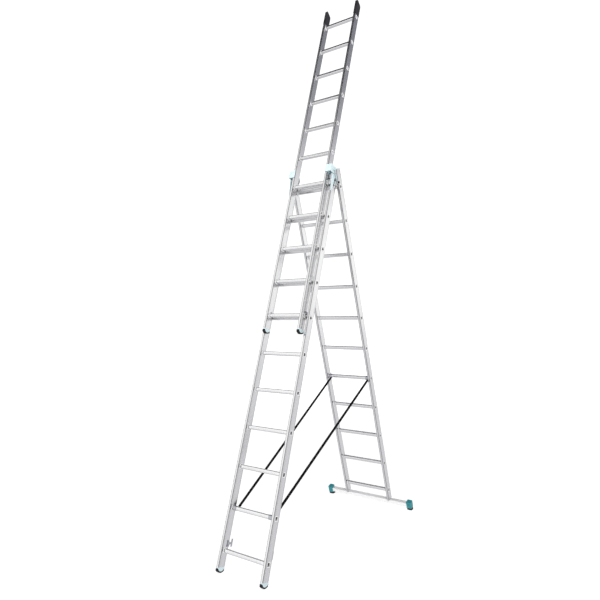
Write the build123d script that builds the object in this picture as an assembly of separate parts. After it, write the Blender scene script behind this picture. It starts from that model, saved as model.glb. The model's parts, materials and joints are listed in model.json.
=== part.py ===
"""Three-section combination ladder, standing open as a stepladder with its top section raised.

Three aluminium ladder sections nest in each other.  The front and the rear section share a hinge
near their upper ends and stand apart, held by two straps.  The narrow top section rides in guides
on the front section, hooked on one of its rungs.

Each section is drawn in a frame of its own: X runs along the rungs, Y runs through the depth of
the stiles towards the rear, Z runs up the stiles, and the hinge axis is the line Y = Z = 0.
"""
from build123d import *
import math
import os

os.makedirs("parts", exist_ok=True)

# ---------------------------------------------------------------- driving dimensions, millimetres
rung_pitch = 280.0
rung_count = 11
rung_size = 28.0
rung_corner = 7.0
rung_wall = 1.7
rib_depth = 0.5
rib_width = 2.4
rib_spacing = 5.0

stile_depth = 64.0
stile_thick = 20.0
stile_wall = 1.6
stile_corner = 3.0
flute_width = 5.0
flute_depth = 0.5
flute_offset = 22.0

top_width = 335.0
guide_gap = 13.5
nest_gap = 5.0
nest_clear = 2.0

hinge_to_first_rung = 37.0
raised_rungs = 6
hook_rise = 5.0
open_angle = 35.9

stile_head = 104.0
top_stile_head = 112.0
foot_tail = 108.0
rear_tail = 97.0

fit = 0.15
running_fit = 0.05

collar_len = 3.0
collar_flare = 4.0
flange_len = 0.8
flange_flare = 2.5

plug_depth = 30.0
plug_wall = 3.0
sole_radius = 45.0
sole_thick = 9.0
sole_drop = 143.0
sole_overhang = 1.0
tread_pitch = 8.0
tread_depth = 1.5

cap_cover = 86.0
cap_skin = 1.6
cap_front_rise = 59.0
cap_rear_rise = 26.0

bolt_radius = 4.0
bolt_head_radius = 7.5
bolt_head_len = 5.0
nut_width = 13.0
nut_len = 6.5
washer_len = 1.5

bar_depth = 40.0
bar_height = 33.0
bar_wall = 2.0
bar_half_length = 415.0
block_width = 46.0
block_depth = 48.0
block_height = 58.0
block_above_bar = 15.0
block_outer = 436.0
pad_drop = 26.0
pad_inset = 2.0
pad_radius = 5.0
bar_bolt_radius = 4.0

head_cheek = 3.2
head_front_clear = 2.0
head_lip = 5.0
head_lip_cover = 18.0
head_arm_low = -55.0
head_cap = 8.0
wedge_low = -204.0

plate_thick = 3.0
plate_clear = 8.0
buffer_depth = 11.0
buffer_height = 30.0

hook_thick = 4.0
hook_side_gap = 2.0
hook_clear = 1.0
hook_arm = 12.0
hook_leg = 7.0
hook_reach = 4.0
hook_pivot_y = 38.0
hook_rivet_clear = 0.5
hook_pivot_radius = 9.0

catch_thick = 4.0
catch_reach = 32.0
catch_bar = 12.0
catch_height = 52.0
catch_above_rung = 22.0

strap_width = 24.0
strap_thick = 2.0
strap_front_rung = 9
strap_rear_rung = 6
strap_front_gap = 7.0
strap_rear_gap = 0.5
clip_margin = 2.0
clip_skin = 1.6
clip_gap = 0.3
strap_gap = 0.1

# ---------------------------------------------------------------- what follows from them
front_width = top_width + 2 * (stile_thick + guide_gap)
rear_width = front_width + 2 * (stile_thick + nest_gap)
plane_offset = stile_depth / 2 + rung_size / 2 + nest_clear

width_of = {"front": front_width, "rear": rear_width, "top": top_width}
depth_of = {
    "front": -plane_offset / 2,
    "rear": plane_offset / 2,
    "top": -1.5 * plane_offset,
}
first_of = {
    "front": -hinge_to_first_rung,
    "rear": -hinge_to_first_rung,
    "top": -hinge_to_first_rung + raised_rungs * rung_pitch + hook_rise,
}
head_top = stile_head - plate_thick
sole_centre = sole_drop - sole_radius


def rung_height(section, index):
    """Height of a rung's centre line in its section's frame."""
    return first_of[section] - index * rung_pitch


def last_rung(section):
    return rung_height(section, rung_count - 1)


def stile_middle(section, side):
    """X of the middle of a stile."""
    return side * (width_of[section] - stile_thick) / 2


def outer_face(section):
    return width_of[section] / 2


def inner_face(section):
    return width_of[section] / 2 - stile_thick


sides = {"left": -1, "right": 1}


# ---------------------------------------------------------------- small shapes used everywhere
def block(x0, x1, y0, y1, z0, z1):
    """A box from its limits, given in any order."""
    size = (abs(x1 - x0), abs(y1 - y0), abs(z1 - z0))
    return Pos((x0 + x1) / 2, (y0 + y1) / 2, (z0 + z1) / 2) * Box(*size)


def across(x0, x1, y, z, radius):
    """A round bar along X."""
    shape = Rotation(0, 90, 0) * Cylinder(radius, abs(x1 - x0))
    return Pos((x0 + x1) / 2, y, z) * shape


def sheet(points, x0, x1):
    """A flat plate across X, cut to an outline of (y, z) points."""
    outline = make_face(Polyline(*points, close=True))
    return Pos(min(x0, x1), 0, 0) * extrude(Plane.YZ * outline, abs(x1 - x0))


def rounded_bar(x0, x1, y, z, size, corner):
    """A bar along X with a square section and round corners."""
    section = RectangleRounded(size, size, corner)
    return Pos(min(x0, x1), y, z) * extrude(Plane.YZ * section, abs(x1 - x0))


def hexagon_across(x0, x1, y, z, width):
    """A nut along X, its hole left to the caller."""
    section = RegularPolygon(width / 2, 6, major_radius=False)
    return Pos(min(x0, x1), y, z) * extrude(Plane.YZ * section, abs(x1 - x0))


# ---------------------------------------------------------------- stiles
def stile_section():
    """The box profile with two shallow flutes on each broad face."""
    shape = RectangleRounded(stile_thick, stile_depth, stile_corner)
    for side in (-1, 1):
        for row in (-1, 1):
            flute = Rectangle(2 * flute_depth, flute_width)
            shape -= Pos(side * stile_thick / 2, row * flute_offset) * flute
    hollow = RectangleRounded(
        stile_thick - 2 * stile_wall, stile_depth - 2 * stile_wall, stile_corner / 2
    )
    return shape - hollow


def make_stile(section, side, low, high):
    """One stile, holed for its rungs."""
    x = stile_middle(section, side)
    y = depth_of[section]
    shape = Pos(x, y, low) * extrude(stile_section(), high - low)
    for index in range(rung_count):
        hole = rounded_bar(
            x - stile_thick,
            x + stile_thick,
            y,
            rung_height(section, index),
            rung_size + 2 * fit,
            rung_corner + fit,
        )
        shape -= hole
    return shape


# ---------------------------------------------------------------- rungs
def flared_ring(x, towards, y, z, size, length, flare):
    """The swelling of a rung's wall on one face of a stile, widest at the face."""
    base = Plane(origin=(x, y, z), x_dir=(0, 1, 0), z_dir=(towards, 0, 0))
    ring = RectangleRounded(size + 2 * flare, size + 2 * flare, rung_corner + flare)
    angle = math.degrees(math.atan((flare - fit) / length))
    return extrude(base * ring, length, taper=angle)


def make_rung(section, index):
    """A hollow ribbed rung, swollen on both sides of each stile and open at its ends."""
    half = outer_face(section) + flange_len
    y = depth_of[section]
    z = rung_height(section, index)
    shape = rounded_bar(-half, half, y, z, rung_size, rung_corner)
    run = inner_face(section) - collar_len
    for row in (-1, 0, 1):
        for face in (-1, 1):
            groove_z = z + face * rung_size / 2
            shape -= block(
                -run,
                run,
                y + row * rib_spacing - rib_width / 2,
                y + row * rib_spacing + rib_width / 2,
                groove_z - rib_depth,
                groove_z + rib_depth,
            )
    for side in (-1, 1):
        inner = side * inner_face(section)
        outer = side * outer_face(section)
        shape += flared_ring(inner, -side, y, z, rung_size, collar_len, collar_flare)
        shape += rounded_bar(
            outer,
            outer + side * flange_len,
            y,
            z,
            rung_size + 2 * flange_flare,
            rung_corner + flange_flare,
        )
    bore = rung_size - 2 * rung_wall
    shape -= rounded_bar(-half - 1, half + 1, y, z, bore, rung_corner - rung_wall)
    return shape


def make_rungs(section, indices):
    return Compound(children=[make_rung(section, index) for index in indices])


# ---------------------------------------------------------------- plugs
def stile_plug(section, side, low, high, open_low):
    """A hollow plug that fits inside a stile's end, open at one end."""
    x = stile_middle(section, side)
    y = depth_of[section]
    inside_x = stile_thick - 2 * (stile_wall + fit)
    inside_y = stile_depth - 2 * (stile_wall + fit)
    body = extrude(RectangleRounded(inside_x, inside_y, stile_corner / 2), high - low)
    core = extrude(Rectangle(inside_x - 2 * plug_wall, inside_y - 2 * plug_wall), high - low)
    rise = -plug_wall if open_low else plug_wall
    return Pos(x, y, low) * (body - Pos(0, 0, rise) * core)


# ---------------------------------------------------------------- feet of the front and top sections
def foot_outline_cut(section, radius):
    """The round-bottomed bar that a foot's parts are cut to."""
    y = depth_of[section]
    z = last_rung(section) - sole_centre
    reach = outer_face(section) + stile_thick
    return across(-reach, reach, y, z, radius)


def make_foot_plug(section, side):
    """A plastic plug pressed into the stile's end, round underneath."""
    x = stile_middle(section, side)
    y = depth_of[section]
    end = last_rung(section) - foot_tail
    half_x = stile_thick / 2 + sole_overhang / 2
    shape = block(
        x - half_x,
        x + half_x,
        y - stile_depth / 2,
        y + stile_depth / 2,
        end,
        end - sole_drop,
    )
    shape &= foot_outline_cut(section, sole_radius - sole_thick - fit)
    return shape + stile_plug(section, side, end, end + plug_depth, False)


def make_sole(section, side):
    """A curved rubber sole with treads across it."""
    x = stile_middle(section, side)
    y = depth_of[section]
    end = last_rung(section) - foot_tail
    half_x = stile_thick / 2 + sole_overhang
    shape = block(
        x - half_x,
        x + half_x,
        y - stile_depth / 2,
        y + stile_depth / 2,
        end - fit,
        end - sole_drop,
    )
    shape &= foot_outline_cut(section, sole_radius)
    shape -= foot_outline_cut(section, sole_radius - sole_thick)
    centre_z = last_rung(section) - sole_centre
    step = tread_pitch / sole_radius
    for index in (-3, -2, 2, 3):
        angle = index * step
        groove_y = y + sole_radius * math.sin(angle)
        groove_z = centre_z - sole_radius * math.cos(angle)
        shape -= across(x - half_x - 1, x + half_x + 1, groove_y, groove_z, tread_depth)
    return shape


# ---------------------------------------------------------------- upper ends
def make_top_cap(side):
    """A plastic cap over the top section's stile, with a slanted nose that is high in front."""
    x = stile_middle("top", side)
    y = depth_of["top"]
    end = first_of["top"] + top_stile_head
    low = end - cap_cover
    front = y - stile_depth / 2 - cap_skin
    rear = y + stile_depth / 2
    half_x = stile_thick / 2 + cap_skin
    outline = [
        (front, low),
        (rear, low),
        (rear, end + cap_rear_rise),
        (rear - 6.0, end + cap_rear_rise + 14.0),
        (front + 13.0, end + cap_front_rise),
        (front + 3.0, end + cap_front_rise - 1.0),
        (front, end + cap_front_rise - 6.0),
    ]
    shape = sheet(outline, x - half_x, x + half_x)
    edges = shape.edges().filter_by(Plane.YZ).filter_by(GeomType.LINE)
    edges = [edge for edge in edges if edge.center().Z > low + 1.0]
    shape = fillet(edges, cap_skin)
    socket_x = stile_thick / 2 + fit
    socket_y = stile_depth / 2 + fit
    socket = block(x - socket_x, x + socket_x, y - socket_y, rear + 1, low - 1, end)
    return shape - socket


def make_rear_cap(side):
    """A flat plastic cap pressed into the rear section's stile."""
    x = stile_middle("rear", side)
    y = depth_of["rear"]
    half_x = stile_thick / 2 + fit
    half_y = stile_depth / 2 + fit
    shape = block(
        x - half_x, x + half_x, y - half_y, y + half_y, stile_head, stile_head + head_cap
    )
    shape = fillet(shape.faces().sort_by(Axis.Z)[-1].edges(), 2.0)
    return shape + stile_plug("rear", side, stile_head - plug_depth, stile_head, True)


# ---------------------------------------------------------------- guides on the front section
def make_guide_head(side):
    """A plastic head on the front stile that holds the top section's stile from its front."""
    y = depth_of["front"]
    front = y - stile_depth / 2
    rear = y + stile_depth / 2
    top_front = depth_of["top"] - stile_depth / 2
    lip_rear = top_front - head_front_clear
    lip_front = lip_rear - head_lip
    cheek_in = outer_face("front") + fit
    cheek_out = cheek_in + head_cheek
    arm_in = outer_face("top") + head_front_clear
    arm_low = stile_head + head_arm_low
    high = stile_head + head_cap
    shape = block(side * arm_in, side * cheek_out, lip_front, front - fit, arm_low, high)
    lip_in = outer_face("top") - head_lip_cover
    shape += block(side * lip_in, side * arm_in, lip_front, lip_rear, arm_low, high)
    shape += block(side * inner_face("front"), side * cheek_out, front - fit, rear, stile_head, high)
    wedge = [
        (rear, high),
        (front - fit, high),
        (front - fit, arm_low),
        (front - fit, arm_low - 8.0),
        (front - 27.0, arm_low - 8.0),
        (front - 24.0, arm_low - 34.0),
        (front - 4.0, stile_head + wedge_low),
        (front + 5.0, stile_head + wedge_low),
        (front + 22.0, arm_low - 30.0),
        (rear, arm_low + 6.0),
    ]
    cheek = sheet(wedge, side * cheek_in, side * cheek_out)
    flange_end = outer_face("front") + flange_len + fit
    cheek -= rounded_bar(
        side * outer_face("front"),
        side * flange_end,
        y,
        rung_height("front", 0),
        rung_size + 2 * (flange_flare + fit),
        rung_corner + flange_flare + fit,
    )
    shape += cheek
    shape += stile_plug("front", side, stile_head - plug_depth, stile_head, True)
    pocket_in = side * (arm_in + plug_wall)
    pocket_out = side * (cheek_out - plug_wall)
    shape -= block(
        pocket_in, pocket_out, lip_rear, front - fit - plug_wall, arm_low, high - plug_wall
    )
    return shape


def guide_bolt_places():
    """Depth and height of the two bolts that hold a guide plate."""
    y = depth_of["front"]
    return [(y + 14.0, stile_head - 50.0), (y - 16.0, stile_head - 82.0)]


def make_guide_plate(side):
    """A steel plate inside the front stile's head, bolted through it."""
    y = depth_of["front"]
    inner = side * inner_face("front")
    low = rung_height("front", 0) + rung_size / 2 + collar_flare + plate_clear
    outline = [
        (y - stile_depth / 2 + 4.0, low + 6.0),
        (y - stile_depth / 2 + 10.0, low),
        (y + 4.0, low),
        (y + 4.0, low + 26.0),
        (y + stile_depth / 2 - 1.0, low + 34.0),
        (y + stile_depth / 2 - 1.0, head_top),
        (y - stile_depth / 2 + 4.0, head_top),
    ]
    shape = sheet(outline, inner, inner - side * plate_thick)
    for bolt_y, bolt_z in guide_bolt_places():
        reach = plate_thick + 1.0
        shape -= across(inner + side, inner - side * reach, bolt_y, bolt_z, bolt_radius + fit)
    return shape


def make_guide_bolts():
    """Bolts through the guide plates and stiles, with domed heads inside."""
    shapes = []
    for side in (-1, 1):
        inner = side * (inner_face("front") - plate_thick)
        outer = side * (outer_face("front") - stile_wall)
        for bolt_y, bolt_z in guide_bolt_places():
            bolt = across(inner, outer, bolt_y, bolt_z, bolt_radius)
            head = across(inner, inner - side * 3.0, bolt_y, bolt_z, bolt_head_radius)
            shapes.append(bolt + head)
    return Compound(children=shapes)


def make_buffer(side):
    """A rubber buffer behind the front stile's head, which the rear section folds against."""
    y = depth_of["front"] + stile_depth / 2 + fit
    x = stile_middle("front", side)
    z = stile_head - 22.0
    shape = block(
        x - stile_thick / 2 + 1,
        x + stile_thick / 2 - 1,
        y,
        y + buffer_depth,
        z - buffer_height / 2,
        z + buffer_height / 2,
    )
    outer_edges = shape.faces().sort_by(Axis.Y)[-1].edges()
    return fillet(outer_edges, 3.0)


# ---------------------------------------------------------------- hinge
def hinge_hole(section, side):
    inner = side * (inner_face(section) - 1)
    outer = side * (outer_face(section) + 1)
    return across(inner, outer, 0, 0, bolt_radius + running_fit)


def make_hinge_bolts():
    """Two bolts through both stiles, each with head, washer and nut."""
    shapes = []
    nut_seat = inner_face("front") - 0.4
    for side in (-1, 1):
        head_seat = side * (outer_face("rear") + washer_len)
        shaft = across(side * (nut_seat - nut_len - 1.5), head_seat, 0, 0, bolt_radius)
        washer = across(side * outer_face("rear"), head_seat, 0, 0, bolt_head_radius + 2)
        head = across(head_seat, head_seat + side * bolt_head_len, 0, 0, bolt_head_radius)
        head = fillet(head.edges().sort_by(Axis.X)[-1 if side > 0 else 0], 2.5)
        nut = hexagon_across(side * nut_seat, side * (nut_seat - nut_len), 0, 0, nut_width)
        shapes.append(shaft + washer + head + nut)
    return Compound(children=shapes)


def make_hinge_bushes():
    """Plastic washers that keep the two sections' stiles apart."""
    shapes = []
    for side in (-1, 1):
        near = side * (outer_face("front") + 0.2)
        far = side * (inner_face("rear") - 0.2)
        ring = across(near, far, 0, 0, 13.0)
        shapes.append(ring - across(near - side, far + side, 0, 0, bolt_radius + running_fit))
    return Compound(children=shapes)


# ---------------------------------------------------------------- hooks and catches
def hook_frame():
    """Depth and height of the hook's pivot, above the rung that the hook rests on."""
    seat_rung = rung_height("front", rung_count - 1 - raised_rungs)
    rise = hook_rise + rung_size / 2 + collar_flare + bolt_head_radius + hook_rivet_clear
    return depth_of["front"] - hook_pivot_y, seat_rung + rise, seat_rung


def make_hook(side):
    """A steel hook that pivots on the top section's stile and drops behind a front rung."""
    pivot_y, pivot_z, seat = hook_frame()
    near = side * (outer_face("top") + hook_side_gap)
    far = near + side * hook_thick
    y = depth_of["front"]
    under = seat + rung_size / 2 + hook_clear
    leg_front = y + rung_size / 2 + hook_clear
    outline = [
        (pivot_y, pivot_z - hook_pivot_radius),
        (pivot_y + 12.0, under),
        (leg_front, under),
        (leg_front, seat - hook_reach),
        (leg_front + hook_leg, seat - hook_reach),
        (leg_front + hook_leg, under + hook_arm - 4.0),
        (leg_front + hook_leg - 4.0, under + hook_arm),
        (pivot_y + 12.0, pivot_z + hook_pivot_radius - 1.0),
        (pivot_y, pivot_z + hook_pivot_radius),
    ]
    shape = sheet(outline, near, far)
    shape += across(near, far, pivot_y, pivot_z, hook_pivot_radius)
    return shape - across(near - side, far + side, pivot_y, pivot_z, bolt_radius + running_fit)


def make_hook_rivets():
    """Rivets that the hooks turn on, through the top section's stiles."""
    pivot_y, pivot_z, _ = hook_frame()
    shapes = []
    for side in (-1, 1):
        inner = side * inner_face("top")
        hook_out = side * (outer_face("top") + hook_side_gap + hook_thick + running_fit * 4)
        shaft = across(inner - side * 2, hook_out + side * 1.5, pivot_y, pivot_z, bolt_radius)
        inside = across(inner, inner - side * 2, pivot_y, pivot_z, bolt_head_radius)
        outside = across(hook_out, hook_out + side * 1.8, pivot_y, pivot_z, bolt_head_radius - 1)
        spacer = across(
            side * outer_face("top"),
            side * (outer_face("top") + hook_side_gap - running_fit * 4),
            pivot_y,
            pivot_z,
            bolt_head_radius,
        )
        shapes.append(shaft + inside + outside + spacer)
    return Compound(children=shapes)


def catch_rivet_places():
    y = depth_of["front"]
    z = last_rung("front") + catch_above_rung
    return [(y + 21.0, z + 10.0), (y + 21.0, z + 34.0)]


def make_catch(side):
    """A steel catch behind the front section's lowest rung, for a rung of the rear section."""
    inner = side * inner_face("front")
    y = depth_of["front"] + stile_depth / 2
    low = last_rung("front") + catch_above_rung
    outline = [
        (y - 20.0, low),
        (y - 2.0, low),
        (y + 4.0, low + 16.0),
        (y + catch_reach - catch_bar, low + 16.0),
        (y + catch_reach - catch_bar, low),
        (y + catch_reach, low),
        (y + catch_reach, low + catch_height),
        (y + catch_reach - catch_bar, low + catch_height),
        (y + catch_reach - catch_bar, low + 30.0),
        (y - 2.0, low + 30.0),
        (y - 8.0, low + 44.0),
        (y - 20.0, low + 44.0),
    ]
    shape = sheet(outline, inner, inner - side * catch_thick)
    for rivet_y, rivet_z in catch_rivet_places():
        shape -= across(inner + side, inner - side * (catch_thick + 1), rivet_y, rivet_z, 3.0 + fit)
    return shape


def make_catch_rivets():
    shapes = []
    for side in (-1, 1):
        inner = inner_face("front") - catch_thick
        for rivet_y, rivet_z in catch_rivet_places():
            shaft = across(side * inner, side * (inner + 9.0), rivet_y, rivet_z, 3.0)
            head = across(side * inner, side * (inner - 2.0), rivet_y, rivet_z, 5.5)
            shapes.append(shaft + head)
    return Compound(children=shapes)


# ---------------------------------------------------------------- stabiliser of the rear section
def bar_top():
    return last_rung("rear") - rear_tail


def bar_bolt_x():
    return inner_face("rear") + stile_thick / 2


def make_bar():
    """The crossbar under the rear stiles."""
    y = depth_of["rear"]
    z = bar_top() - bar_height / 2
    outer = RectangleRounded(bar_depth, bar_height, 3.0)
    inner = RectangleRounded(bar_depth - 2 * bar_wall, bar_height - 2 * bar_wall, 1.5)
    section = Plane.YZ * (outer - inner)
    shape = Pos(-bar_half_length, y, z) * extrude(section, 2 * bar_half_length)
    for side in (-1, 1):
        drill = Cylinder(bar_bolt_radius + fit, bar_height * 2)
        shape -= Pos(side * bar_bolt_x(), y, z) * drill
    return shape


def make_rear_plug(side):
    """A plastic plug in the rear stile's foot that the crossbar's bolt screws into."""
    x = stile_middle("rear", side)
    y = depth_of["rear"]
    low = bar_top() + fit
    shape = stile_plug("rear", side, low, low + plug_depth, False)
    boss = Pos(x, y, low + plug_depth / 2) * Cylinder(stile_thick / 2 - stile_wall - fit, plug_depth)
    hole = Pos(x, y, low) * Cylinder(bar_bolt_radius + fit, 2 * plug_depth + 2)
    return shape + boss - hole


def make_bar_bolts():
    """Bolts from below, through the crossbar into the stiles' plugs."""
    y = depth_of["rear"]
    low = bar_top() - bar_height
    shapes = []
    for side in (-1, 1):
        x = side * bar_bolt_x()
        length = bar_height + plug_depth - 8
        shaft = Pos(x, y, low + length / 2) * Cylinder(bar_bolt_radius, length)
        washer = Pos(x, y, low - washer_len / 2) * Cylinder(bar_bolt_radius * 2.6, washer_len)
        hexagon = RegularPolygon(nut_width / 2, 6, major_radius=False)
        head = Pos(x, y, low - washer_len - nut_len) * extrude(hexagon, nut_len)
        shapes.append(shaft + washer + head)
    return Compound(children=shapes)


def block_limits(side):
    """X, Y and Z limits of an end block."""
    y = depth_of["rear"]
    high = bar_top() + block_above_bar
    x_range = (side * (block_outer - block_width), side * block_outer)
    y_range = (y - block_depth / 2, y + block_depth / 2)
    return x_range, y_range, (high - block_height, high)


def make_end_block(side):
    """A ribbed plastic block over the crossbar's end."""
    (x0, x1), (y0, y1), (z0, z1) = block_limits(side)
    shape = block(x0, x1, y0, y1, z0, z1)
    shape = fillet(shape.edges().filter_by(Axis.Z), 4.0)
    for row in (-1, 0, 1):
        x = (x0 + x1) / 2 + row * block_width / 3.4
        for face in (y0, y1):
            shape -= block(x - 2.5, x + 2.5, face - 1.2, face + 1.2, z0 + 12, z1 - 8)
    y = depth_of["rear"]
    z = bar_top() - bar_height / 2
    end = side * (bar_half_length + fit)
    half_y = bar_depth / 2 + fit
    half_z = bar_height / 2 + fit
    return shape - block(x0 - side, end, y - half_y, y + half_y, z - half_z, z + half_z)


def make_pad(side):
    """A rubber pad under an end block, cut level with the floor."""
    (x0, x1), (y0, y1), (z0, _) = block_limits(side)
    below_floor = z0 - pad_drop - block_depth
    shape = block(
        min(x0, x1) + pad_inset,
        max(x0, x1) - pad_inset,
        y0 + pad_inset,
        y1 - pad_inset,
        below_floor,
        z0,
    )
    return fillet(shape.edges().filter_by(Axis.Z), pad_radius)


# ---------------------------------------------------------------- straps
def strap_x(section, side):
    """Middle of a strap, so far in that its clip stays clear of the rung's swollen joint."""
    gap = strap_front_gap if section == "front" else strap_rear_gap
    return side * (inner_face(section) - collar_len - gap - clip_margin - strap_width / 2)


def make_clips(section, index):
    """Steel clips around one rung, one for each strap."""
    y = depth_of[section]
    z = rung_height(section, index)
    shapes = []
    for side in (-1, 1):
        x = strap_x(section, side)
        near = x - strap_width / 2 - clip_margin
        far = x + strap_width / 2 + clip_margin
        outer = rounded_bar(
            near, far, y, z, rung_size + 2 * (clip_gap + clip_skin), rung_corner + clip_gap + clip_skin
        )
        hole = rounded_bar(
            near - 1, far + 1, y, z, rung_size + 2 * clip_gap, rung_corner + clip_gap
        )
        shapes.append(outer - hole)
    return Compound(children=shapes)


# ---------------------------------------------------------------- the stance
def pad_centre():
    """Middle of the rear pads' underside, in the rear section's frame."""
    y = depth_of["rear"]
    z = block_limits(1)[2][0] - pad_drop
    return y, z


def hinge_height(front_lean):
    """Height of the hinge above the floor from the front feet and from the rear pads."""
    lean = math.radians(front_lean)
    back = math.radians(open_angle - front_lean)
    sole_y = depth_of["front"]
    sole_z = last_rung("front") - sole_centre
    from_front = sole_y * math.sin(lean) - sole_z * math.cos(lean) + sole_radius
    pad_y, pad_z = pad_centre()
    from_rear = -pad_y * math.sin(back) - pad_z * math.cos(back)
    return from_front, from_rear


def level_lean():
    """The front section's lean at which feet and pads reach one floor."""
    low = 0.0
    high = open_angle
    for _ in range(60):
        middle = (low + high) / 2
        from_front, from_rear = hinge_height(middle)
        if from_front > from_rear:
            low = middle
        else:
            high = middle
    return (low + high) / 2


front_lean = level_lean()
rear_lean = open_angle - front_lean
hinge_z = hinge_height(front_lean)[0]
lean_of = {"front": -front_lean, "top": -front_lean, "rear": rear_lean}


def stand(shape, section):
    """Moves a section's shape from its own frame to the standing ladder."""
    return Pos(0, 0, hinge_z) * Rotation(lean_of[section], 0, 0) * shape


def section_point(section, x, y, z):
    """Where a point of a section's frame is on the standing ladder."""
    angle = math.radians(lean_of[section])
    world_y = y * math.cos(angle) - z * math.sin(angle)
    world_z = y * math.sin(angle) + z * math.cos(angle) + hinge_z
    return Vector(x, world_y, world_z)


# ---------------------------------------------------------------- every node
nodes = {}
for name, side in sides.items():
    low_front = last_rung("front") - foot_tail
    low_rear = last_rung("rear") - rear_tail
    low_top = last_rung("top") - foot_tail
    front_stile = make_stile("front", side, low_front, stile_head) - hinge_hole("front", side)
    for bolt_y, bolt_z in guide_bolt_places():
        drill = across(
            side * (inner_face("front") - 1),
            side * (outer_face("front") + 1),
            bolt_y,
            bolt_z,
            bolt_radius + fit,
        )
        front_stile -= drill
    for rivet_y, rivet_z in catch_rivet_places():
        front_stile -= across(
            side * (inner_face("front") - 1),
            side * (inner_face("front") + stile_thick / 2),
            rivet_y,
            rivet_z,
            3.0 + fit,
        )
    rear_stile = make_stile("rear", side, low_rear, stile_head) - hinge_hole("rear", side)
    top_stile = make_stile("top", side, low_top, first_of["top"] + top_stile_head)
    pivot_y, pivot_z, _ = hook_frame()
    top_stile -= across(
        side * (inner_face("top") - 1),
        side * (outer_face("top") + 1),
        pivot_y,
        pivot_z,
        bolt_radius + fit,
    )
    nodes["front_stile_" + name] = ("front", front_stile)
    nodes["rear_stile_" + name] = ("rear", rear_stile)
    nodes["top_stile_" + name] = ("top", top_stile)
    nodes["front_foot_plug_" + name] = ("front", make_foot_plug("front", side))
    nodes["front_sole_" + name] = ("front", make_sole("front", side))
    nodes["top_foot_plug_" + name] = ("top", make_foot_plug("top", side))
    nodes["top_sole_" + name] = ("top", make_sole("top", side))
    nodes["top_cap_" + name] = ("top", make_top_cap(side))
    nodes["rear_cap_" + name] = ("rear", make_rear_cap(side))
    nodes["guide_head_" + name] = ("front", make_guide_head(side))
    nodes["guide_plate_" + name] = ("front", make_guide_plate(side))
    nodes["buffer_" + name] = ("front", make_buffer(side))
    nodes["hook_" + name] = ("top", make_hook(side))
    nodes["catch_" + name] = ("front", make_catch(side))
    nodes["rear_foot_plug_" + name] = ("rear", make_rear_plug(side))
    nodes["end_block_" + name] = ("rear", make_end_block(side))
    nodes["pad_" + name] = ("rear", make_pad(side))

for index in range(rung_count):
    nodes["front_rung_%02d" % (index + 1)] = ("front", make_rung("front", index))
upper = range(0, 6)
lower = range(6, rung_count)
nodes["rear_rungs_upper"] = ("rear", make_rungs("rear", upper))
nodes["rear_rungs_lower"] = ("rear", make_rungs("rear", lower))
nodes["top_rungs_upper"] = ("top", make_rungs("top", upper))
nodes["top_rungs_lower"] = ("top", make_rungs("top", lower))
nodes["guide_bolts"] = ("front", make_guide_bolts())
nodes["hinge_bolts"] = ("rear", make_hinge_bolts())
nodes["hinge_bushes"] = ("rear", make_hinge_bushes())
nodes["hook_rivets"] = ("top", make_hook_rivets())
nodes["catch_rivets"] = ("front", make_catch_rivets())
nodes["stabiliser_bar"] = ("rear", make_bar())
nodes["stabiliser_bolts"] = ("rear", make_bar_bolts())
nodes["strap_clips_front"] = ("front", make_clips("front", strap_front_rung))
nodes["strap_clips_rear"] = ("rear", make_clips("rear", strap_rear_rung))

standing = {name: stand(shape, section) for name, (section, shape) in nodes.items()}

# the pads are cut level with the floor
floor_cut = Pos(0, 0, -500.0) * Box(4000.0, 4000.0, 1000.0)
for name in sides:
    standing["pad_" + name] = standing["pad_" + name] - floor_cut


def clip_corner(section, side, index):
    """Middle of the rounding at a clip's lower rear corner, standing."""
    reach = rung_size / 2 - rung_corner
    y = depth_of[section] + reach
    z = rung_height(section, index) - reach
    return section_point(section, strap_x(section, side), y, z)


def make_strap(side):
    """A flat strap, tight from under a front rung's clip to under a rear rung's clip.

    It touches both clips as a loop round the rung pulls: on the rounding of the lower rear corner.
    """
    front_corner = clip_corner("front", side, strap_front_rung)
    rear_corner = clip_corner("rear", side, strap_rear_rung)
    way = (rear_corner - front_corner).normalized()
    below = way.cross(Vector(1, 0, 0)).normalized()
    off = rung_corner + clip_gap + clip_skin + strap_gap + strap_thick / 2
    start = front_corner + below * off
    across_way = Vector(1, 0, 0) - way * way.X
    plane = Plane(origin=start, x_dir=across_way, z_dir=way)
    length = (rear_corner - front_corner).length
    return extrude(plane * Rectangle(strap_width, strap_thick), length)


for name, side in sides.items():
    standing["strap_" + name] = make_strap(side)

# ---------------------------------------------------------------- origin under the middle of the box
straps = ["strap_" + name for name in sides]
boxes = [shape.bounding_box() for name, shape in standing.items() if name not in straps]
low_y = min(box.min.Y for box in boxes)
high_y = max(box.max.Y for box in boxes)
shift = Pos(0, -(low_y + high_y) / 2, 0)
for name, shape in standing.items():
    export_step(shift * shape, "parts/" + name + ".step")

print("nodes", len(standing))
print("front lean %.3f, rear lean %.3f degrees" % (front_lean, rear_lean))
print("hinge axis at y %.3f, z %.3f" % (-(low_y + high_y) / 2, hinge_z))
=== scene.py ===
# %% [markdown]
# # A combination ladder, standing open
# The engineering model of the ladder arrives as a fixed frame: every rail, rung and cap is already
# where it belongs. This lesson adds what a design file doesn't hold: the finish of drawn aluminium,
# moulded plastic and rubber, woven straps with turned-up ends and stitches, and the small beads
# along each rung that a shoe grips.

# %% Load the frame
import json
import math
import bmesh
import bpy
from mathutils import Matrix, Vector


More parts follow.
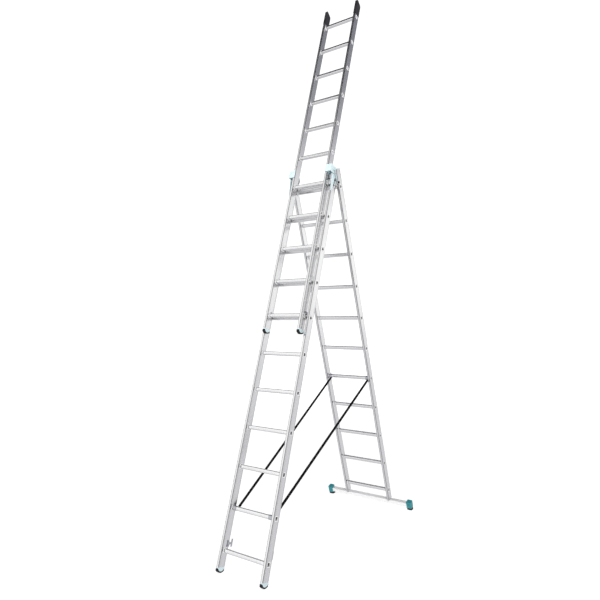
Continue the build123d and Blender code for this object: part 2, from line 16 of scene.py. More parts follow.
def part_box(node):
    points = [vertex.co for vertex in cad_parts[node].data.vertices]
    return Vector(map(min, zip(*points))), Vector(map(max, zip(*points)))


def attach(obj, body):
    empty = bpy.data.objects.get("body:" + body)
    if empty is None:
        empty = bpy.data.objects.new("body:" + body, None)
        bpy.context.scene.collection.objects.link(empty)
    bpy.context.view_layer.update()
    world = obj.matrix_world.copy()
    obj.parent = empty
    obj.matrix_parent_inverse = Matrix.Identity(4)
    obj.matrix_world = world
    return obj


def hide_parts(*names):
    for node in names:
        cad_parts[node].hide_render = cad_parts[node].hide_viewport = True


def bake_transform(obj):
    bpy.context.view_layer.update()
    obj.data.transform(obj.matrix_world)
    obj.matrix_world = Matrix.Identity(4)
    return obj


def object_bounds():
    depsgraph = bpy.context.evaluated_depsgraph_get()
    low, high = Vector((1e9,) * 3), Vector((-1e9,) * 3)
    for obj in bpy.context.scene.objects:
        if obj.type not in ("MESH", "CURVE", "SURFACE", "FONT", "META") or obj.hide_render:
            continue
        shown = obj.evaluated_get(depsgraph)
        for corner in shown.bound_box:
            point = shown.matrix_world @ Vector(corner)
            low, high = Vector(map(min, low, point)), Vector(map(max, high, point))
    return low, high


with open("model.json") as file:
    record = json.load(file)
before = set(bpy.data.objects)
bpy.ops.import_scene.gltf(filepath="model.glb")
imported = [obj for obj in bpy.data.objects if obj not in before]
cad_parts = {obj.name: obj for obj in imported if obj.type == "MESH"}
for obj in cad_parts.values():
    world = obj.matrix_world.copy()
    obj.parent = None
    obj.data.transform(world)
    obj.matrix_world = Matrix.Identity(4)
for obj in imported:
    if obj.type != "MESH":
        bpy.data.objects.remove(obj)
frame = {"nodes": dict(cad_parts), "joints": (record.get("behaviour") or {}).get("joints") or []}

cad_low, cad_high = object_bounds()
nodes = frame["nodes"]
joints = {joint["name"]: joint for joint in frame["joints"]}
print("nodes", len(nodes), "size", [round(v, 3) for v in cad_high - cad_low])


def linked(name, data):
    """A new object, put into the scene."""
    made = bpy.data.objects.new(name, data)
    bpy.context.scene.collection.objects.link(made)
    return made


# %% [markdown]
# ## Directions
# Rails lean, so marks that run along them need the direction of each section. The sliding joint of
# the top section gives the front one. The rear one is read off the straight line between the
# lowest and the highest corner of its rail.

# %% The three sections' own directions
front_up = Vector(joints["top_slide"]["axis"]).normalized()
rail_low, rail_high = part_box("rear_stile_right")
rear_run = rail_high - rail_low
rail_depth = 0.064
rear_lean = math.atan2(rear_run.y, rear_run.z)
# That line crosses the rail's depth as well, so the lean is closed in on in a few steps.
for _ in range(4):
    across_y = rail_depth * math.cos(rear_lean)
    across_z = rail_depth * math.sin(rear_lean)
    rear_lean = math.atan2(rear_run.y - across_y, rear_run.z - across_z)
rear_up = Vector((0.0, -math.sin(rear_lean), math.cos(rear_lean)))
print("front lean", round(math.degrees(math.asin(front_up.y)), 2))
print("rear lean", round(math.degrees(rear_lean), 2))

# %% [markdown]
# ## Camera
# The camera stands to the right and in front of the ladder, at about eye height, and looks
# almost level. A wide lens makes the foot and the tip spread apart.

# %% Place the camera
floor_middle = Vector((0.0, 0.0, cad_low.z))
view_turn = math.radians(34.254)
view_tilt = math.radians(-2.494)
view_roll = math.radians(0.113)
view_place = floor_middle + Vector((2.3088, -3.641, 1.7077))
camera_data = bpy.data.cameras.new("studio_camera")
camera_data.sensor_width = 36.0
camera_data.lens = 31.271
camera_data.clip_start = 0.05
camera = linked("studio_camera", camera_data)
back = Vector(
    (
        math.sin(view_turn) * math.cos(view_tilt),
        -math.cos(view_turn) * math.cos(view_tilt),
        math.sin(view_tilt),
    )
)
right = Vector((math.cos(view_turn), math.sin(view_turn), 0.0))
up = back.cross(right)
rolled_right = right * math.cos(view_roll) + up * math.sin(view_roll)
rolled_up = up * math.cos(view_roll) - right * math.sin(view_roll)
turned = Matrix((rolled_right, rolled_up, back)).transposed().to_4x4()
camera.matrix_world = Matrix.Translation(view_place) @ turned
bpy.context.scene.camera = camera
print("camera at", [round(v, 2) for v in camera.location])

# %% [markdown]
# ## A shorthand for shader maths
# Node trees are graphs, but most of what they hold is plain arithmetic. This small class wraps a
# socket so that Python's signs add Math nodes. Every other node comes from one method, `node`.


# %% The socket class
class Flow:
    """A socket that Python's own signs can work on."""

    def __init__(self, finish, socket):
        self.finish = finish
        self.socket = socket

    def math(self, operation, first, second=None):
        values = {0: first}
        if second is not None:
            values[1] = second
        return self.finish.node("ShaderNodeMath", {"operation": operation}, values)

    def __add__(self, other):
        return self.math("ADD", self, other)

    __radd__ = __add__

    def __mul__(self, other):
        return self.math("MULTIPLY", self, other)

    __rmul__ = __mul__

    def __sub__(self, other):
        return self.math("SUBTRACT", self, other)

    def __rsub__(self, other):
        return self.math("SUBTRACT", other, self)

    def __truediv__(self, other):
        return self.math("DIVIDE", self, other)

    def above(self, other):
        return self.math("GREATER_THAN", self, other)

    def size(self):
        return self.math("ABSOLUTE", self)

    def wave(self):
        return self.math("SINE", self)

    def clamped(self):
        return self.math("MINIMUM", self.math("MAXIMUM", self, 0.0), 1.0)


class Finish:
    """A material, or the world, under construction."""

    def __init__(self, owner):
        owner.use_nodes = True
        self.tree = owner.node_tree
        self.tree.nodes.clear()

    def node(self, kind, settings=None, inputs=None, output=0):
        made = self.tree.nodes.new(kind)
        for name, value in (settings or {}).items():
            if name == "stops":
                ramp = made.color_ramp
                while len(ramp.elements) < len(value):
                    ramp.elements.new(1.0)
                for element, (place, colour) in zip(ramp.elements, value):
                    element.position = place
                    element.color = colour
            else:
                setattr(made, name, value)
        for key, value in (inputs or {}).items():
            if isinstance(value, Flow):
                self.tree.links.new(value.socket, made.inputs[key])
            else:
                made.inputs[key].default_value = value
        return Flow(self, made.outputs[output])

    def place(self):
        """Object coordinates: metres in the ladder's own frame."""
        return self.node("ShaderNodeTexCoord", output="Object")

    def part_of(self, vector, direction):
        """How far a point lies along a direction."""
        settings = {"operation": "DOT_PRODUCT"}
        return self.node("ShaderNodeVectorMath", settings, {0: vector, 1: direction}, "Value")

    def noise(self, vector, scale, detail=2.0, roughness=0.5):
        values = {"Vector": vector, "Scale": scale, "Detail": detail, "Roughness": roughness}
        return self.node("ShaderNodeTexNoise", None, values, "Fac")

    def stretched(self, side, depth, length):
        return self.node("ShaderNodeCombineXYZ", None, {0: side, 1: depth, 2: length})

    def blend(self, share, first, second):
        """Two colours mixed by a share from 0 to 1."""
        values = {"Factor": share, "A": first, "B": second}
        made = self.tree.nodes.new("ShaderNodeMix")
        made.data_type = "RGBA"
        sockets = {s.identifier: s for s in made.inputs}
        names = {"Factor": "Factor_Float", "A": "A_Color", "B": "B_Color"}
        for key, value in values.items():
            socket = sockets[names[key]]
            if isinstance(value, Flow):
                self.tree.links.new(value.socket, socket)
            else:
                socket.default_value = value
        results = {s.identifier: s for s in made.outputs}
        return Flow(self, results["Result_Color"])

    def bump(self, height, distance, strength=1.0):
        values = {"Height": height, "Distance": distance, "Strength": strength}
        return self.node("ShaderNodeBump", None, values, "Normal")

    def surface(self, **values):
        """The shader itself. Underscores in names stand for spaces."""
        named = {key.replace("_", " "): value for key, value in values.items()}
        shader = self.node("ShaderNodeBsdfPrincipled", None, named, "BSDF")
        out = self.tree.nodes.new("ShaderNodeOutputMaterial")
        self.tree.links.new(shader.socket, out.inputs["Surface"])


def grey(value, blue=0.0):
    return (value, value, value + blue, 1.0)


print("shader shorthand ready")

# %% [markdown]
# ## Drawn aluminium
# Ladder rails are pushed hot through a die, which leaves fine lines along their length and a
# satin sheen. Noise squeezed across a rail and stretched along it gives those lines. A second,
# softer noise leaves handling marks, which make the sheen vary. A dark line is painted along the
# rounded corners of a rail, as a painted dark reflection. The swollen joints of a rung are matt,
# and painted near-white as a painted highlight.


# %% Aluminium, drawn along a direction
painted_corner_shade_width = 0.0038


def drawn_aluminium(name, along, tone, rough, joint=None, corners=None):
    material = bpy.data.materials.new(name)
    finish = Finish(material)
    place = finish.place()
    along = Vector(along).normalized()
    side_way = Vector((1, 0, 0)) if abs(along.x) < 0.5 else Vector((0, 1, 0))
    depth_way = along.cross(side_way).normalized()
    length = finish.part_of(place, along)
    side = finish.part_of(place, side_way)
    depth = finish.part_of(place, depth_way)
    die_lines = finish.noise(finish.stretched(side * 1400.0, depth * 1400.0, length * 5.0), 1.0)
    streaks = finish.noise(finish.stretched(side * 160.0, depth * 160.0, length * 2.2), 1.0, 3.0)
    handling = finish.noise(place, 11.0, 4.0, 0.6)
    scuffs = finish.noise(finish.stretched(side * 90.0, depth * 90.0, length * 60.0), 1.0, 5.0, 0.7)
    scuffed = ((scuffs - 0.62) * 7.0).clamped()
    worn = (0.5 + (die_lines - 0.5) * 0.8 + (streaks - 0.5) * 0.9).clamped()
    colour = finish.blend(worn, grey(tone * 0.90), grey(tone, 0.012))
    colour = finish.blend(scuffed * 0.35, colour, grey(tone * 0.72))
    roughness = (rough + (handling - 0.5) * 0.14 + (die_lines - 0.5) * 0.08 + scuffed * 0.10)
    height = die_lines * 0.6 + streaks * 0.4
    metal = 1.0
    # Painted reflection: a dark line painted along the rail's four long corners.
    if corners is not None:
        mid_depth, half_depth, mid_side, half_side = corners
        at_face = (depth - mid_depth).size().above(half_depth - painted_corner_shade_width)
        at_side = (side.size() - mid_side).size().above(half_side - painted_corner_shade_width)
        colour = finish.blend(at_face * at_side * 0.7, colour, grey(0.10, 0.01))
    # Painted highlight: past `joint` along X the colour turns near-white, and the finish rougher
    # and less metallic, for the bright glint at a rung's swollen joint.
    if joint is not None:
        painted_bright_zone = finish.part_of(place, (1, 0, 0)).size().above(joint)
        colour = finish.blend(painted_bright_zone, colour, grey(0.99))
        roughness = roughness + painted_bright_zone * 0.28
        metal = 1.0 - painted_bright_zone * 0.55
    finish.surface(
        Base_Color=colour,
        Metallic=metal,
        Roughness=roughness,
        Normal=finish.bump(height, 0.00012),
    )
    return material


ways = {"front": front_up, "top": front_up, "rear": rear_up}


def depth_of_section(section):
    """Direction square to a section's rails and rungs, pointing to its rear."""
    return ways[section].cross(Vector((1, 0, 0)))


def rail_corners(section):
    """Where a rail's four long corners lie: middle and half of its depth and of its width."""
    depth_way = depth_of_section(section)
    node = nodes[section + "_stile_right"]
    corners = [node.matrix_world @ vertex.co for vertex in node.data.vertices]
    depths = [corner.dot(depth_way) for corner in corners]
    sides = [corner.x for corner in corners]
    return (
        (max(depths) + min(depths)) / 2,
        (max(depths) - min(depths)) / 2,
        (max(sides) + min(sides)) / 2,
        (max(sides) - min(sides)) / 2,
    )


rails_of = {}
for section in ways:
    rails_of[section] = drawn_aluminium(
        "rail_" + section, ways[section], 0.90, 0.25, None, rail_corners(section)
    )
joint_reach = 0.0035
rungs_of = {}
for section in ("front", "rear", "top"):
    rail_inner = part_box(section + "_stile_right")[0].x
    rungs_of[section] = drawn_aluminium(
        "rung_" + section, (1, 0, 0), 0.93, 0.22, rail_inner - joint_reach
    )
# With the joint at 0, the same near-white, matt colour covers the whole bar.
bar_metal = drawn_aluminium("bar_metal", (1, 0, 0), 0.88, 0.42, 0.0)
print("aluminium finishes made")

# %% [markdown]
# ## Moulded plastic and rubber
# Moulded parts copy the spark-eroded grain of their tool, so a fine bump belongs on them, with a
# little fading where hands and floors rub. Rubber is duller, and dusty in its hollows.


# %% Plastic
def moulded_plastic(name, deep, faded, rough, rib=None):
    material = bpy.data.materials.new(name)
    finish = Finish(material)
    place = finish.place()
    pores = finish.noise(place, 1500.0, 1.0)
    clouds = finish.noise(place, 28.0, 4.0, 0.6)
    rubbed = ((clouds - 0.5) * 2.4 + 0.4).clamped()
    colour = finish.blend(rubbed, deep, faded)
    height = pores * 0.1
    if rib is not None:
        across = finish.part_of(place, (1, 0, 0)) + finish.part_of(place, (0, 1, 0))
        raised = ((across * (2 * math.pi / rib)).wave() * 2.0 + 0.5).clamped()
        colour = finish.blend(raised * 0.6, colour, (0.06, 0.40, 0.44, 1))
        height = height + raised
    finish.surface(
        Base_Color=colour,
        Metallic=0.0,
        Roughness=rough + (clouds - 0.5) * 0.16,
        Normal=finish.bump(height, 0.0010, 0.6),
    )
    return material


block_rib = 0.012
teal_block = moulded_plastic(
    "teal_block", (0.010, 0.16, 0.18, 1), (0.020, 0.22, 0.245, 1), 0.42, block_rib
)
pale_teal = moulded_plastic("pale_teal", (0.56, 0.70, 0.73, 1), (0.66, 0.77, 0.79, 1), 0.45)
black_cap = moulded_plastic("black_cap", (0.010, 0.010, 0.012, 1), (0.030, 0.029, 0.033, 1), 0.38)


# %% Rubber
def worn_rubber(name):
    material = bpy.data.materials.new(name)
    finish = Finish(material)
    place = finish.place()
    dust = finish.noise(place, 55.0, 5.0, 0.65)
    grain = finish.noise(place, 900.0, 2.0)
    dusty = ((dust - 0.52) * 3.0).clamped()
    finish.surface(
        Base_Color=finish.blend(dusty * 0.5, (0.007, 0.007, 0.008, 1), (0.035, 0.034, 0.033, 1)),
        Metallic=0.0,
        Roughness=0.68 + (dust - 0.5) * 0.2,
        Normal=finish.bump(grain * 0.6 + dust * 0.4, 0.00025, 0.7),
    )
    return material


sole_rubber = worn_rubber("sole_rubber")
print("plastic and rubber made")

# %% [markdown]
# ## Steel
# Bolts, hooks and brackets are zinc plated, which dulls in faint patches of grey and blue. The
# bolts in the guide heads are blackened instead.


# %% Plated and blackened steel
def plated_steel(name, light, dark, rough):
    material = bpy.data.materials.new(name)
    finish = Finish(material)
    place = finish.place()
    cells = finish.node("ShaderNodeTexVoronoi", None, {"Vector": place, "Scale": 260.0}, "Color")
    patch = finish.node("ShaderNodeSeparateColor", None, {0: cells}, 0)
    cloud = finish.noise(place, 45.0, 4.0)
    share = (patch * 0.35 + cloud * 0.65).clamped()
    finish.surface(
        Base_Color=finish.blend(share, dark, light),
        Metallic=1.0,
        Roughness=rough + (cloud - 0.5) * 0.18,
        Normal=finish.bump(cloud, 0.00015, 0.5),
    )
    return material


zinc = plated_steel("zinc", (0.66, 0.67, 0.70, 1), (0.46, 0.47, 0.50, 1), 0.34)
black_steel = plated_steel("black_steel", (0.045, 0.045, 0.05, 1), (0.015, 0.015, 0.018, 1), 0.40)
print("steel made")

# %% [markdown]
# ## Dressing the frame
# Each node of the frame gets the finish of its real part. The names of the nodes say what they
# are, so a short list of beginnings is enough.

# %% Give every node its finish
finish_of = [
    ("front_stile", rails_of["front"]),
    ("top_stile", rails_of["top"]),
    ("rear_stile", rails_of["rear"]),
    ("front_rung", rungs_of["front"]),
    ("rear_rungs", rungs_of["rear"]),
    ("top_rungs", rungs_of["top"]),
    ("stabiliser_bar", bar_metal),
    ("stabiliser_bolts", zinc),
    ("end_block", teal_block),
    ("front_foot_plug", pale_teal),
    ("top_foot_plug", pale_teal),
    ("rear_foot_plug", pale_teal),
    ("rear_cap", pale_teal),
    ("guide_head", pale_teal),
    ("hinge_bushes", pale_teal),
    ("guide_plate", zinc),
    ("guide_bolts", black_steel),
    ("hinge_bolts", black_steel),
    ("hook_rivets", zinc),
    ("hook", zinc),
    ("catch", zinc),
    ("strap_clips", zinc),
    ("top_cap", black_cap),
    ("buffer", sole_rubber),
    ("pad", sole_rubber),
    ("front_sole", sole_rubber),
    ("top_sole", sole_rubber),
]
undressed = []
for name, node in nodes.items():
    found = [material for start, material in finish_of if name.startswith(start)]
    if not found:
        undressed.append(name)
        continue
    node.data.materials.clear()
    node.data.materials.append(found[0])
print("without a finish yet", undressed)

# %% [markdown]
# ## Straps
# Two flat woven straps stop the legs from sliding apart. Each is one length of webbing, pulled
# tight from under a front rung to under a rear rung. The frame holds each strap as a plain bar,
# so its two ends are read from that bar's own corners.

# %% Where the straps run
def strap_ends(node_name):
    """Middles of the two end faces of a strap's bar, the front one first, and its flat size."""
    node = nodes[node_name]
    corners = [node.matrix_world @ vertex.co for vertex in node.data.vertices]
    nearest = min(corner.y for corner in corners)
    farthest = max(corner.y for corner in corners)
    halfway = (nearest + farthest) / 2
    front = [corner for corner in corners if corner.y < halfway]
    rear = [corner for corner in corners if corner.y >= halfway]
    ends = [sum(group, Vector()) / len(group) for group in (front, rear)]
    way = (ends[1] - ends[0]).normalized()
    flat = (Vector((1, 0, 0)) - way * way.x).normalized()
    thin = flat.cross(way).normalized()
    width = 2 * max(abs((corner - ends[0]).dot(flat)) for corner in front)
    thick = 2 * max(abs((corner - ends[0]).dot(thin)) for corner in front)
    return ends[0], ends[1], way, flat, thin, width, thick


start, end, _, _, _, strap_width, strap_thick = strap_ends("strap_right")
print("strap", round((end - start).length, 3), round(strap_width, 4), round(strap_thick, 4))

# %% [markdown]
# ## Woven webbing
# The weave follows the strap, so it reads a UV map: U across the width, V along the length, both
# in metres. Two sets of waves, one along and one across, make the ribs of the weave.


# %% Webbing finish
def woven(name):
    material = bpy.data.materials.new(name)
    finish = Finish(material)
    uv = finish.node("ShaderNodeUVMap", {"uv_map": "weave"})
    parts = finish.tree.nodes.new("ShaderNodeSeparateXYZ")
    finish.tree.links.new(uv.socket, parts.inputs[0])
    across = Flow(finish, parts.outputs[0])
    along = Flow(finish, parts.outputs[1])
    warp = (across * (2 * math.pi / 0.0016)).wave()
    weft = (along * (2 * math.pi / 0.0022) + warp * 1.2).wave()
    height = warp * 0.35 + weft * 0.5 + 0.5
    fuzz = finish.noise(finish.place(), 700.0, 3.0)
    finish.surface(
        Base_Color=finish.blend(
            (height * 0.6 + fuzz * 0.4).clamped(),
            (0.002, 0.002, 0.003, 1),
            (0.010, 0.010, 0.012, 1),
        ),
        Metallic=0.0,
        Roughness=0.85 + (fuzz - 0.5) * 0.15,
        Specular_IOR_Level=0.15,
        Normal=finish.bump(height, 0.0003, 0.8),
    )
    return material


webbing = woven("webbing")


# %% A flat ribbon
def ribbon(name, path, flat, outward, width, thick, material):
    """A flat band along a path, its UV map in metres. `outward` gives the band's face per point."""
    half, deep = width / 2, thick / 2
    outline = [
        (-half, -deep * 0.4), (-half * 0.94, -deep), (-half * 0.5, -deep), (0, -deep),
        (half * 0.5, -deep), (half * 0.94, -deep), (half, -deep * 0.4),
        (half, deep * 0.4), (half * 0.94, deep), (half * 0.5, deep), (0, deep),
        (-half * 0.5, deep), (-half * 0.94, deep), (-half, deep * 0.4),
    ]
    mesh = bmesh.new()
    layer = mesh.loops.layers.uv.new("weave")
    rings = []
    lengths = [0.0]
    for before, after in zip(path, path[1:]):
        lengths.append(lengths[-1] + (after - before).length)
    for point, normal in zip(path, outward):
        rings.append([mesh.verts.new(point + flat * u + normal * v) for u, v in outline])
    count = len(outline)
    for step in range(len(rings) - 1):
        for k in range(count):
            after = (k + 1) % count
            face = mesh.faces.new(
                (rings[step][k], rings[step][after], rings[step + 1][after], rings[step + 1][k])
            )
            marks = (
                (outline[k][0], lengths[step]),
                (outline[after][0], lengths[step]),
                (outline[after][0], lengths[step + 1]),
                (outline[k][0], lengths[step + 1]),
            )
            for loop, mark in zip(face.loops, marks):
                loop[layer].uv = mark
    mesh.faces.new(list(reversed(rings[0])))
    mesh.faces.new(rings[-1])
    bmesh.ops.recalc_face_normals(mesh, faces=mesh.faces[:])
    data = bpy.data.meshes.new(name)
    mesh.to_mesh(data)
    mesh.free()
    data.materials.append(material)
    return linked(name, data)


# %% [markdown]
# ## Turned-up ends
# Each strap passes under its rung and turns up behind it, where the steel clip holds it. The end
# stays with the rung, so it is a piece of its own. It follows the clip's rounded corner and then
# its flat rear face.


# %% The turned-up ends
corner_steps, rise_steps = 8, 4
clip_corner = 0.0089
strap_clearance = 0.0001


def clip_of(clips, side, up_way, depth_way):
    """Middle and half size of one clip, in the section's own leaning directions."""
    node = nodes[clips]
    corners = [node.matrix_world @ vertex.co for vertex in node.data.vertices]
    mine = [corner for corner in corners if corner.x * side > 0]
    depths = [corner.dot(depth_way) for corner in mine]
    heights = [corner.dot(up_way) for corner in mine]
    middle_depth = (min(depths) + max(depths)) / 2
    middle_height = (min(heights) + max(heights)) / 2
    middle = depth_way * middle_depth + up_way * middle_height
    middle.x = (min(corner.x for corner in mine) + max(corner.x for corner in mine)) / 2
    return middle, (max(depths) - min(depths)) / 2


def turned_end(middle, half, depth_way, up_way, way, gap, corner):
    """Points and outward directions from the tight strap, round a corner and up the rear face."""
    reach = half - corner
    square = way.cross(Vector((1, 0, 0))).normalized()
    first = math.atan2(square.dot(up_way), square.dot(depth_way))
    centre = middle + depth_way * reach - up_way * reach
    points, normals = [], []
    for step in range(corner_steps + 1):
        angle = first * (1 - step / corner_steps)
        normal = depth_way * math.cos(angle) + up_way * math.sin(angle)
        points.append(centre + normal * (corner + gap))
        normals.append(normal)
    corner_end = points[-1]
    for step in range(1, rise_steps + 1):
        points.append(corner_end + up_way * (2 * reach * step / rise_steps))
        normals.append(depth_way.copy())
    return points, normals


for section, body in (("front", "front_section"), ("rear", "rear_section")):
    up_way, depth_way = ways[section], depth_of_section(section)
    for side_name, side in (("left", -1), ("right", 1)):
        way = strap_ends("strap_" + side_name)[2]
        middle, half = clip_of("strap_clips_" + section, side, up_way, depth_way)
        gap = strap_clearance + strap_thick / 2
        points, normals = turned_end(middle, half, depth_way, up_way, way, gap, clip_corner)
        turned_up = ribbon(
            "strap_end_%s_%s" % (section, side_name),
            points,
            Vector((1, 0, 0)),
            normals,
            strap_width,
            strap_thick,
            webbing,
        )
        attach(turned_up, body)
        print(turned_up.name, "clip half size", round(half, 4))

# %% [markdown]
# ## Beads on the rungs
# Every rung carries rows of small pressed beads, so that a wet shoe doesn't slide. They all look
# alike, so one Geometry Nodes group makes them: a row of beads, then that row on every rung of a
# section. The result is turned into a plain mesh that rides with its section.

# %% Where the rungs are
body_of_section = {"front": "front_section", "rear": "rear_section", "top": "top_section"}
# Corners with less than this between their heights belong to the same rung.
rung_gap = 0.05


def rung_middles(section):
    """Middle of each rung of a section, from the corners of the rungs' own meshes."""
    up_way = ways[section]
    depth_way = depth_of_section(section)
    groups = []
    corners = []
    for name, node in nodes.items():
        if name.startswith(section + "_rung"):
            corners += [node.matrix_world @ vertex.co for vertex in node.data.vertices]
    corners.sort(key=lambda corner: corner.dot(up_way))
    for corner in corners:
        if groups and corner.dot(up_way) - groups[-1][-1].dot(up_way) < rung_gap:
            groups[-1].append(corner)
        else:
            groups.append([corner])
    middles = []
    for group in groups:
        heights = [corner.dot(up_way) for corner in group]
        depths = [corner.dot(depth_way) for corner in group]
        height = (min(heights) + max(heights)) / 2
        depth = (min(depths) + max(depths)) / 2
        middles.append(up_way * height + depth_way * depth)
    return middles


for section in ways:
    print(section, "rungs", len(rung_middles(section)))


# %% A node group of repeated rows
def new_group(name, sockets):
    group = bpy.data.node_groups.new(name, "GeometryNodeTree")
    group.interface.new_socket("Geometry", in_out="INPUT", socket_type="NodeSocketGeometry")
    for label, kind, default in sockets:
        made = group.interface.new_socket(label, in_out="INPUT", socket_type=kind)
        made.default_value = default
    group.interface.new_socket("Geometry", in_out="OUTPUT", socket_type="NodeSocketGeometry")
    return group


def add(group, kind, settings=None, inputs=None):
    node = group.nodes.new(kind)
    for name, value in (settings or {}).items():
        setattr(node, name, value)
    for key, value in (inputs or {}).items():
        if isinstance(value, bpy.types.NodeSocket):
            group.links.new(value, node.inputs[key])
        else:
            node.inputs[key].default_value = value
    return node


def rows_group(material):
    """Points in; on each point a row of beads along X, each bead a little different."""
    group = new_group(
        "rows_of_beads_" + material.name,
        [
            ("Beads", "NodeSocketInt", 12),
            ("Pitch", "NodeSocketFloat", 0.015),
            ("Bead Size", "NodeSocketVector", (0.004, 0.001, 0.001)),
            ("Lean", "NodeSocketFloat", 0.0),
            ("Seed", "NodeSocketInt", 7),
        ],
    )
    entry = add(group, "NodeGroupInput").outputs
    half = add(group, "ShaderNodeMath", {"operation": "SUBTRACT"}, {0: entry["Beads"], 1: 1.0})
    run = add(
        group,
        "ShaderNodeMath",
        {"operation": "MULTIPLY"},
        {0: half.outputs[0], 1: entry["Pitch"]},
    )
    first = add(group, "ShaderNodeMath", {"operation": "MULTIPLY"}, {0: run.outputs[0], 1: -0.5})
    start_at = add(group, "ShaderNodeCombineXYZ", None, {0: first.outputs[0]})
    step_by = add(group, "ShaderNodeCombineXYZ", None, {0: entry["Pitch"]})
    line = add(
        group,
        "GeometryNodeMeshLine",
        None,
        {
            "Count": entry["Beads"],
            "Start Location": start_at.outputs[0],
            "Offset": step_by.outputs[0],
        },
    )
    bead = add(group, "GeometryNodeMeshUVSphere", None, {"Segments": 10, "Rings": 6, "Radius": 1.0})
    varied = add(
        group,
        "FunctionNodeRandomValue",
        {"data_type": "FLOAT"},
        {2: 0.86, 3: 1.0, "Seed": entry["Seed"]},
    )
    value = [socket for socket in varied.outputs if socket.enabled][0]
    sized = add(
        group,
        "ShaderNodeVectorMath",
        {"operation": "SCALE"},
        {0: entry["Bead Size"], "Scale": value},
    )
    row = add(
        group,
        "GeometryNodeInstanceOnPoints",
        None,
        {"Points": line.outputs[0], "Instance": bead.outputs[0], "Scale": sized.outputs[0]},
    )
    turn = add(group, "ShaderNodeCombineXYZ", None, {0: entry["Lean"]})
    rows = add(
        group,
        "GeometryNodeInstanceOnPoints",
        None,
        {"Points": entry["Geometry"], "Instance": row.outputs[0], "Rotation": turn.outputs[0]},
    )
    real = add(group, "GeometryNodeRealizeInstances", None, {"Geometry": rows.outputs[0]})
    dressed = add(
        group, "GeometryNodeSetMaterial", None, {"Geometry": real.outputs[0], "Material": material}
    )
    leave = add(group, "NodeGroupOutput")
    group.links.new(dressed.outputs[0], leave.inputs[0])
    return group


def grown(name, points, group, values):
    """A plain mesh grown by a node group on points, with no modifier left on it."""
    seeds = bpy.data.meshes.new(name + "_points")
    seeds.from_pydata([tuple(point) for point in points], [], [])
    source = linked(name + "_points", seeds)
    modifier = source.modifiers.new("grow", "NODES")
    modifier.node_group = group
    for item in group.interface.items_tree:
        if item.in_out == "INPUT" and item.name in values:
            modifier[item.identifier] = values[item.name]
    bpy.context.view_layer.update()
    seen = source.evaluated_get(bpy.context.evaluated_depsgraph_get())
    data = bpy.data.meshes.new_from_object(seen)
    data.name = name
    bpy.data.objects.remove(source)
    bpy.data.meshes.remove(seeds)
    return linked(name, data)


# %% Beads on every rung
bead_finish = plated_steel("bead_metal", (0.90, 0.90, 0.92, 1), (0.70, 0.70, 0.72, 1), 0.30)
rung_half = 0.014
bead_margin = 0.022
bead_drop = 0.0045
bead_pitch = 0.016
bead_size = (0.0045, 0.0012, 0.0016)
bead_rows = rows_group(bead_finish)
for section, body in body_of_section.items():
    up_way, depth_way = ways[section], depth_of_section(section)
    rail_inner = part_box(section + "_stile_right")[0].x
    free = 2 * (rail_inner - bead_margin)
    spots = []
    for middle in rung_middles(section):
        for face in (-1, 1):
            spots.append(middle + depth_way * (rung_half * face) - up_way * bead_drop)
    lean = math.atan2(-up_way.y, up_way.z)
    beads = grown(
        "rung_beads_" + section,
        spots,
        bead_rows,
        {
            "Beads": int(free / bead_pitch),
            "Pitch": bead_pitch,
            "Bead Size": bead_size,
            "Lean": lean,
            "Seed": 7,
        },
    )
    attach(beads, body)
    print(beads.name, "faces", len(beads.data.polygons))

# %% [markdown]
# ## Painted shade in the rung ends
# The rungs are open tubes. On the two standing sections a black disc sits a little way inside
# each end, as painted shade for the dark inside of the tube. The same group places them: a row
# of two flat beads, one for each end.

# %% Painted shade inside the rungs
# Painted shade: black rubber discs set inside each rung end stand in for the shade in the open
# tube.
shade_disc_rows = rows_group(sole_rubber)
shade_disc_depth = 0.005
shade_disc_size = (0.002, 0.0118, 0.0118)
for section in ("front", "rear"):
    up_way = ways[section]
    rail_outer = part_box(section + "_stile_right")[1].x
    end_shade_discs = grown(
        "rung_stoppers_" + section,
        rung_middles(section),
        shade_disc_rows,
        {
            "Beads": 2,
            "Pitch": 2 * (rail_outer - shade_disc_depth),
            "Bead Size": shade_disc_size,
            "Lean": math.atan2(-up_way.y, up_way.z),
            "Seed": 3,
        },
    )
    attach(end_shade_discs, body_of_section[section])
    print(end_shade_discs.name, "faces", len(end_shade_discs.data.polygons))

# %% [markdown]
# ## Tight straps and their stitches
# Just past each rung the strap is sewn to itself with thick thread. The same node group sews it,
# with a smaller pitch. The stitches are joined to the strap, because a sewn strap bends as one.
# The thread borrows the plated steel finish, so it shines more than real thread would.


# %% Sewing
thread = plated_steel("thread", (0.30, 0.30, 0.31, 1), (0.16, 0.16, 0.17, 1), 0.8)
thread_rows = rows_group(thread)
stitch_rows = 9
stitch_from = 0.022
stitch_step = 0.006
stitches_across = 3
stitch_share = 0.34
stitch_size = (0.0026, 0.0004, 0.0008)


def sewn(strap, name, at, onward, thin, width, thick):
    """Stitches on both faces of a strap, joined to it."""
    spots = []
    for row in range(stitch_rows):
        for face in (-1, 1):
            place = at + onward * (stitch_from + stitch_step * row)
            spots.append(place + thin * (face * thick / 2))
    stitches = grown(
        name,
        spots,
        thread_rows,
        {
            "Beads": stitches_across,
            "Pitch": width * stitch_share,
            "Bead Size": stitch_size,
            "Lean": math.atan2(onward.z, onward.y),
            "Seed": 11,
        },
    )
    pair = [strap, stitches]
    with bpy.context.temp_override(
        active_object=strap, selected_objects=pair, selected_editable_objects=pair
    ):
        bpy.ops.object.join()


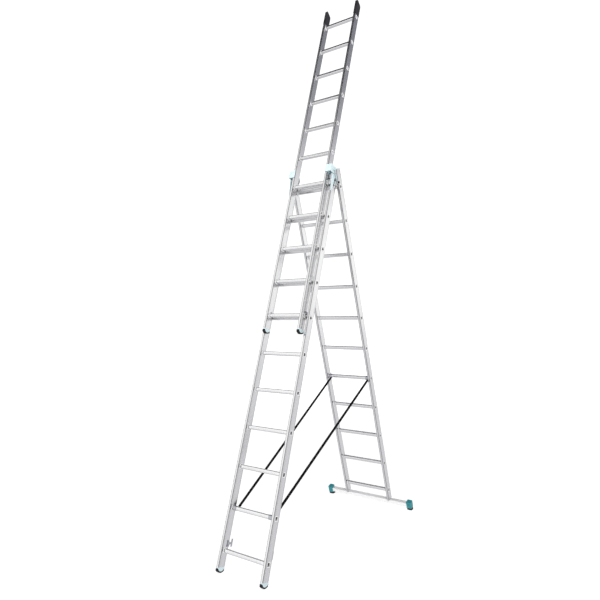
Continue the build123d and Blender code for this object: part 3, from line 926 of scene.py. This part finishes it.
# %% The straps
strap_steps = 60
for side_name in ("left", "right"):
    start, end, way, flat, thin, width, thick = strap_ends("strap_" + side_name)
    path = [start.lerp(end, step / strap_steps) for step in range(strap_steps + 1)]
    strap = ribbon(
        "spreader_strap_" + side_name, path, flat, [thin] * len(path), width, thick, webbing
    )
    sewn(strap, "stitches_front_" + side_name, start, way, thin, width, thick)
    sewn(strap, "stitches_rear_" + side_name, end, way * -1, thin, width, thick)
    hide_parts("strap_" + side_name)
    (end - start).length
    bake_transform(strap)
    print(strap.name, "length", round((end - start).length, 3), "faces", len(strap.data.polygons))

# %% [markdown]
# ## Studio
# Bare aluminium shows what it reflects. A bright floor and horizon under a dark ceiling make the
# rails pale low down and dark near the tip, and draw a dark line along every front edge, which
# the painted dark line on the rails' corners deepens.

# %% World and lights
bpy.context.scene.view_settings.view_transform = "Standard"
world = bpy.data.worlds.new("studio")
bpy.context.scene.world = world
sky = Finish(world)
direction = sky.node("ShaderNodeTexCoord", output="Generated")
parts = sky.tree.nodes.new("ShaderNodeSeparateXYZ")
sky.tree.links.new(direction.socket, parts.inputs[0])
rightward, backward, height = (Flow(sky, socket) for socket in parts.outputs)
in_front = ((0.05 - backward) * 3.2).clamped()
above_horizon = height * (1.0 - in_front * 0.64)
stops = [
    (0.00, grey(0.54, 0.02)), (0.47, grey(0.66, 0.02)), (0.51, grey(0.97)), (0.63, grey(1.0)),
    (0.645, grey(0.44, 0.03)), (0.69, grey(0.26, 0.035)), (0.78, grey(0.17, 0.03)),
    (1.00, grey(0.05)),
]
glow = sky.node(
    "ShaderNodeValToRGB", {"stops": stops}, {"Fac": above_horizon * 0.5 + 0.5}, "Color"
)
front_dark = in_front * ((height - 0.69) * 14.0).clamped()
left_flag = ((0.0 - rightward - 0.68) * 9.0).clamped()
near_flag = ((rightward * back.x + backward * back.y - 0.86) * 12.0).clamped()
flagged = sky.blend(front_dark, glow, grey(0.012))
flagged = sky.blend(left_flag * 0.92, flagged, grey(0.05))
flagged = sky.blend(near_flag * 0.85, flagged, grey(0.05))
seen = sky.node("ShaderNodeLightPath", output="Is Camera Ray")
mixed = sky.blend(seen, flagged, grey(1.0))
background = sky.node("ShaderNodeBackground", None, {"Color": mixed, "Strength": 1.12})
sky_out = sky.tree.nodes.new("ShaderNodeOutputWorld")
sky.tree.links.new(background.socket, sky_out.inputs["Surface"])


def soft_light(name, place, aim, size, power):
    data = bpy.data.lights.new(name, "AREA")
    data.size = size
    data.energy = power
    light = linked(name, data)
    light.location = place
    light.rotation_mode = "QUATERNION"
    light.rotation_quaternion = (Vector(aim) - Vector(place)).to_track_quat("-Z", "Y")
    light.visible_glossy = False


middle = (cad_low + cad_high) / 2
soft_light("key", (3.5, -4.5, 5.5), middle, 3.0, 230.0)
soft_light("fill", (-4.5, -2.5, 3.5), middle, 3.5, 90.0)
soft_light("rim", (1.5, 5.0, 4.5), middle, 3.0, 90.0)

# %% Floor
floor_mesh = bpy.data.meshes.new("floor")
reach = 40.0
floor_gap = 0.0005
corners = [(-reach, -reach), (reach, -reach), (reach, reach), (-reach, reach)]
floor_mesh.from_pydata([(x, y, cad_low.z - floor_gap) for x, y in corners], [], [(0, 1, 2, 3)])
floor = linked("floor", floor_mesh)
floor_paint = bpy.data.materials.new("floor_paint")
paint = Finish(floor_paint)
far = paint.node("ShaderNodeVectorMath", {"operation": "LENGTH"}, {0: paint.place()}, "Value")
fade = ((far - 3.0) * 0.16).clamped()
white = paint.node("ShaderNodeEmission", None, {"Color": grey(1.0), "Strength": 0.78 + fade * 0.4})
matt = paint.node("ShaderNodeBsdfDiffuse", None, {"Color": grey(0.40)})
both = paint.node("ShaderNodeAddShader", None, {0: white, 1: matt})
floor_out = paint.tree.nodes.new("ShaderNodeOutputMaterial")
paint.tree.links.new(both.socket, floor_out.inputs["Surface"])
floor.visible_glossy = False
floor_mesh.materials.append(floor_paint)
print("studio ready")
